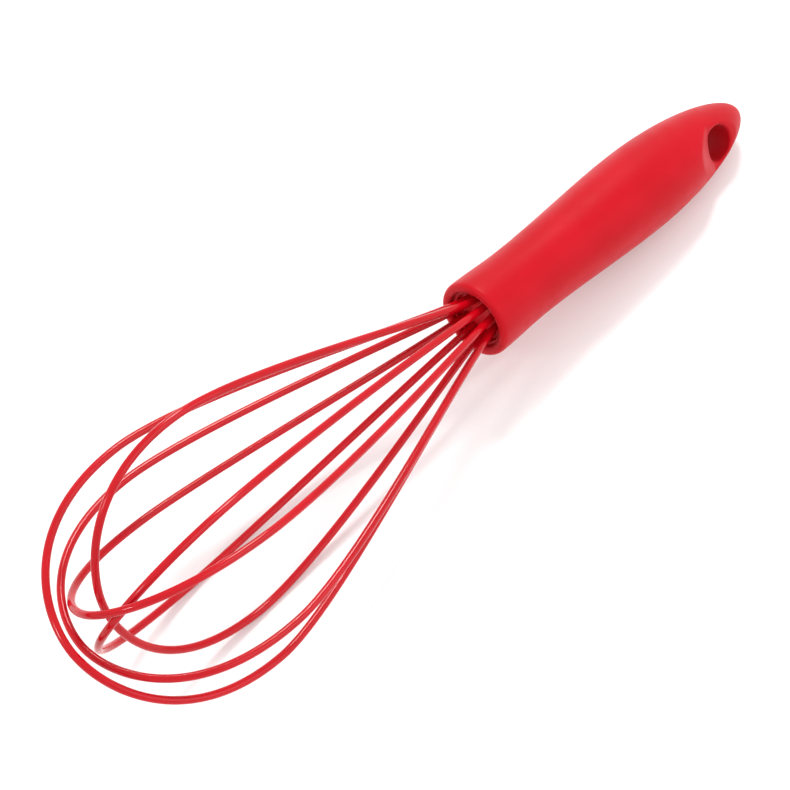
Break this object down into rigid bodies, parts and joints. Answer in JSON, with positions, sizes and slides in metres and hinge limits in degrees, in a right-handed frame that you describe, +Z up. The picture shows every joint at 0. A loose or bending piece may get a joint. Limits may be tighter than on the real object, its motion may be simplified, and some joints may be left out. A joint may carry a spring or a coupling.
{
  "type": "balloon whisk",
  "caption": "Balloon whisk with silicone-coated wire loops set in a moulded grip with a hanging hole.",
  "frame": {"origin": "on the worktop under the middle of the whisk as it lies", "axes": "+X from the cage towards the handle along the whisk, +Z up from the worktop, +Y across"},
  "size_m": [0.2996, 0.0704, 0.0752],
  "materials": {
    "grip_silicone": "satin, soft-touch",
    "core_plastic": "moulded, plain",
    "plug_plastic": "satin",
    "resin": "cast",
    "spring_steel": "drawn wire",
    "coat_silicone": "glossy"
  },
  "bodies": {
    "root": {"grip_sleeve": "grip_silicone", "handle_core": "core_plastic", "wire_plug": "plug_plastic", "potting_resin": "resin", "wire_core_1": "spring_steel", "wire_core_2": "spring_steel", "wire_core_3": "spring_steel", "wire_core_4": "spring_steel", "wire_core_5": "spring_steel", "wire_coat_1": "coat_silicone", "wire_coat_2": "coat_silicone", "wire_coat_3": "coat_silicone", "wire_coat_4": "coat_silicone", "wire_coat_5": "coat_silicone"}
  },
  "joints": []
}
